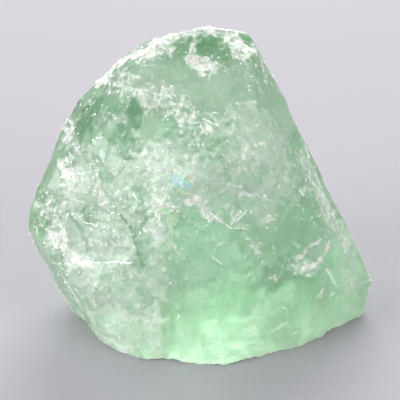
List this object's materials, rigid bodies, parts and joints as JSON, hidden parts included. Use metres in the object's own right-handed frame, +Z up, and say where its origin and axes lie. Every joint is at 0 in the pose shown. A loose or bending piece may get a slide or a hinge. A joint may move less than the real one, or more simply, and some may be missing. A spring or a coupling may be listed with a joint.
{
  "type": "rough fluorite",
  "caption": "Rough lump of pale green fluorite: flat split faces, chipped and worn edges, milky cracks inside, standing on a flat foot.",
  "frame": {"origin": "centre of the bounding box's footprint, at the resting face", "axes": "+Z up from the resting face, +X along the lump's width, -Y towards the broad front that the picture shows"},
  "size_m": [0.061, 0.0396, 0.0524],
  "materials": {
    "fluorite": "frosted, with glossy split faces"
  },
  "bodies": {
    "root": {"fluorite": "fluorite"}
  },
  "joints": []
}
